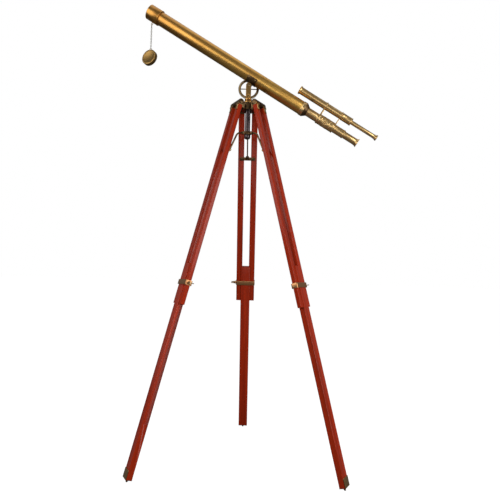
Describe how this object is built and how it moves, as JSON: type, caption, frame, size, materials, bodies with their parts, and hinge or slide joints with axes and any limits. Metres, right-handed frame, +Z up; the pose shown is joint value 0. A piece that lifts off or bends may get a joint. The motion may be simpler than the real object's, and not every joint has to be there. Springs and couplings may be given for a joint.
{
  "type": "telescope on tripod",
  "caption": "Antique brass refracting telescope with finder scope on a folding three-legged wooden tripod with sliding lower legs and a spoked tilt wheel.",
  "frame": {"origin": "on the floor under the middle of the object's box, with the legs spread and the telescope raised", "axes": "+Z up; the telescope lies in the X-Z plane, its front end toward -X and its eyepiece toward +X"},
  "size_m": [0.929, 0.669, 1.7482],
  "materials": {
    "varnished_wood": "gloss varnish over red-brown hardwood",
    "antique_brass": "satin antique brass",
    "aged_brass": "dulled copper-toned brass",
    "dark_bronze": "dark bronze patina",
    "dark_steel": "polished, darkened",
    "chain_steel": "bright, slightly dulled",
    "lens_glass": "clear polished glass"
  },
  "bodies": {
    "stand_head": {"head_casting": "dark_bronze", "centre_column": "dark_steel", "column_cap": "dark_bronze", "hinge_pins": "dark_bronze"},
    "spreader": {"spreader_collar": "dark_bronze", "collar_pins": "dark_bronze"},
    "leg_rear": {"leg_rails_rear": "varnished_wood", "hinge_fittings_rear": "dark_bronze", "stay_bracket_rear": "dark_bronze", "leg_fasteners_rear": "dark_bronze", "clamp_band_rear": "aged_brass"},
    "lower_rear": {"lower_leg_rear": "varnished_wood", "foot_shoe_rear": "aged_brass"},
    "knob_rear": {"clamp_knob_rear": "aged_brass"},
    "stay_rear": {"stay_rear": "dark_bronze"},
    "leg_left": {"leg_rails_left": "varnished_wood", "hinge_fittings_left": "dark_bronze", "stay_bracket_left": "dark_bronze", "leg_fasteners_left": "dark_bronze", "clamp_band_left": "aged_brass"},
    "lower_left": {"lower_leg_left": "varnished_wood", "foot_shoe_left": "aged_brass"},
    "knob_left": {"clamp_knob_left": "aged_brass"},
    "stay_left": {"stay_left": "dark_bronze"},
    "leg_right": {"leg_rails_right": "varnished_wood", "hinge_fittings_right": "dark_bronze", "stay_bracket_right": "dark_bronze", "leg_fasteners_right": "dark_bronze", "clamp_band_right": "aged_brass"},
    "lower_right": {"lower_leg_right": "varnished_wood", "foot_shoe_right": "aged_brass"},
    "knob_right": {"clamp_knob_right": "aged_brass"},
    "stay_right": {"stay_right": "dark_bronze"},
    "post": {"turning_post": "antique_brass"},
    "pinion": {"tilt_pinion": "antique_brass", "tilt_knob": "antique_brass"},
    "telescope": {"tilt_wheel": "antique_brass", "tilt_axle": "antique_brass", "axle_nut": "antique_brass", "saddle": "dark_bronze", "saddle_screws": "dark_bronze", "main_tube": "antique_brass", "dew_cap": "antique_brass", "objective_lens": "lens_glass", "lens_ring": "antique_brass", "tail_flange": "antique_brass", "focuser_body": "antique_brass", "knurled_ring": "antique_brass", "finder_bracket_front": "antique_brass", "finder_bracket_rear": "antique_brass", "finder_tube": "antique_brass", "finder_lens": "lens_glass", "chain_eyelet": "antique_brass"},
    "eyepiece": {"draw_tube": "antique_brass", "eyecup": "antique_brass", "eye_lens": "lens_glass"},
    "finder_eyepiece": {"finder_draw_tube": "antique_brass", "finder_eyecup": "antique_brass"},
    "chain": {"chain": "chain_steel"},
    "cap": {"lens_cap": "antique_brass"}
  },
  "joints": [
    {"name": "fold_rear", "type": "hinge", "parent": "stand_head", "child": "leg_rear", "pos_m": [-0.04276, -0.04677, 1.356], "axis": [-0.9997, 0.0262, 0], "range_deg": [0, 15.3]},
    {"name": "extend_rear", "type": "slide", "parent": "leg_rear", "child": "lower_rear", "axis": [-0.0069, -0.2645, 0.9644], "range_m": [0, 0.4]},
    {"name": "clamp_rear", "type": "hinge", "parent": "leg_rear", "child": "knob_rear", "pos_m": [-0.07605, 0.14306, 0.66744], "axis": [-0.9997, 0.0262, 0], "range_deg": [0, 720]},
    {"name": "stay_pivot_rear", "type": "hinge", "parent": "spreader", "child": "stay_rear", "pos_m": [-0.0435, -0.07526, 1.2488], "axis": [-0.9997, 0.0262, 0], "range_deg": [0, 32.94]},
    {"name": "fold_left", "type": "hinge", "parent": "stand_head", "child": "leg_left", "pos_m": [-0.08574, -0.11692, 1.356], "axis": [0.4772, -0.8788, 0], "range_deg": [0, 15.3]},
    {"name": "extend_left", "type": "slide", "parent": "leg_left", "child": "lower_left", "axis": [0.2325, 0.1262, 0.9644], "range_m": [0, 0.4]},
    {"name": "clamp_left", "type": "hinge", "parent": "leg_left", "child": "knob_left", "pos_m": [-0.23349, -0.24066, 0.66744], "axis": [0.4772, -0.8788, 0], "range_deg": [0, 720]},
    {"name": "stay_pivot_left", "type": "hinge", "parent": "spreader", "child": "stay_left", "pos_m": [-0.0607, -0.10332, 1.2488], "axis": [0.4772, -0.8788, 0], "range_deg": [0, 32.94]},
    {"name": "fold_right", "type": "hinge", "parent": "stand_head", "child": "leg_right", "pos_m": [-0.0035, -0.11907, 1.356], "axis": [0.5225, 0.8526, 0], "range_deg": [0, 15.3]},
    {"name": "extend_right", "type": "slide", "parent": "leg_right", "child": "lower_right", "axis": [-0.2256, 0.1382, 0.9644], "range_m": [0, 0.4]},
    {"name": "clamp_right", "type": "hinge", "parent": "leg_right", "child": "knob_right", "pos_m": [0.17754, -0.18515, 0.66744], "axis": [0.5225, 0.8526, 0], "range_deg": [0, 720]},
    {"name": "stay_pivot_right", "type": "hinge", "parent": "spreader", "child": "stay_right", "pos_m": [-0.0278, -0.10418, 1.2488], "axis": [0.5225, 0.8526, 0], "range_deg": [0, 32.94]},
    {"name": "spreader_slide", "type": "slide", "parent": "stand_head", "child": "spreader", "axis": [0, 0, 1], "range_m": [0, 0.01903]},
    {"name": "pan", "type": "hinge", "parent": "stand_head", "child": "post", "pos_m": [-0.044, -0.09425, 1.3674], "axis": [0, 0, 1], "continuous": true},
    {"name": "tilt", "type": "hinge", "parent": "post", "child": "telescope", "pos_m": [-0.044, -0.09425, 1.4365], "axis": [0, 1, 0], "range_deg": [-61.3, 16.7]},
    {"name": "tilt_drive", "type": "hinge", "parent": "post", "child": "pinion", "pos_m": [-0.044, -0.09425, 1.39], "axis": [0, 1, 0], "range_deg": [-99.34, 361.99]},
    {"name": "focus", "type": "slide", "parent": "telescope", "child": "eyepiece", "axis": [0.8545, 0, -0.5195], "range_m": [-0.045, 0.03]},
    {"name": "finder_focus", "type": "slide", "parent": "telescope", "child": "finder_eyepiece", "axis": [0.8545, 0, -0.5195], "range_m": [-0.09, 0.02]},
    {"name": "chain_swing", "type": "hinge", "parent": "telescope", "child": "chain", "pos_m": [-0.43152, -0.09425, 1.67303], "axis": [0, 1, 0], "range_deg": [-30, 30]},
    {"name": "cap_swing", "type": "hinge", "parent": "chain", "child": "cap", "pos_m": [-0.43152, -0.09425, 1.57498], "axis": [0, 1, 0], "range_deg": [-30, 30]}
  ],
  "couplings": [
    {"joint": "fold_left", "follows": "fold_rear", "ratio": 1},
    {"joint": "fold_right", "follows": "fold_rear", "ratio": 1},
    {"joint": "spreader_slide", "follows": "fold_rear", "m_per_rad": 0.071095},
    {"joint": "stay_pivot_rear", "follows": "fold_rear", "ratio": 2.1496},
    {"joint": "stay_pivot_left", "follows": "fold_rear", "ratio": 2.1496},
    {"joint": "stay_pivot_right", "follows": "fold_rear", "ratio": 2.1496},
    {"joint": "tilt_drive", "follows": "tilt", "ratio": -5.8889}
  ]
}
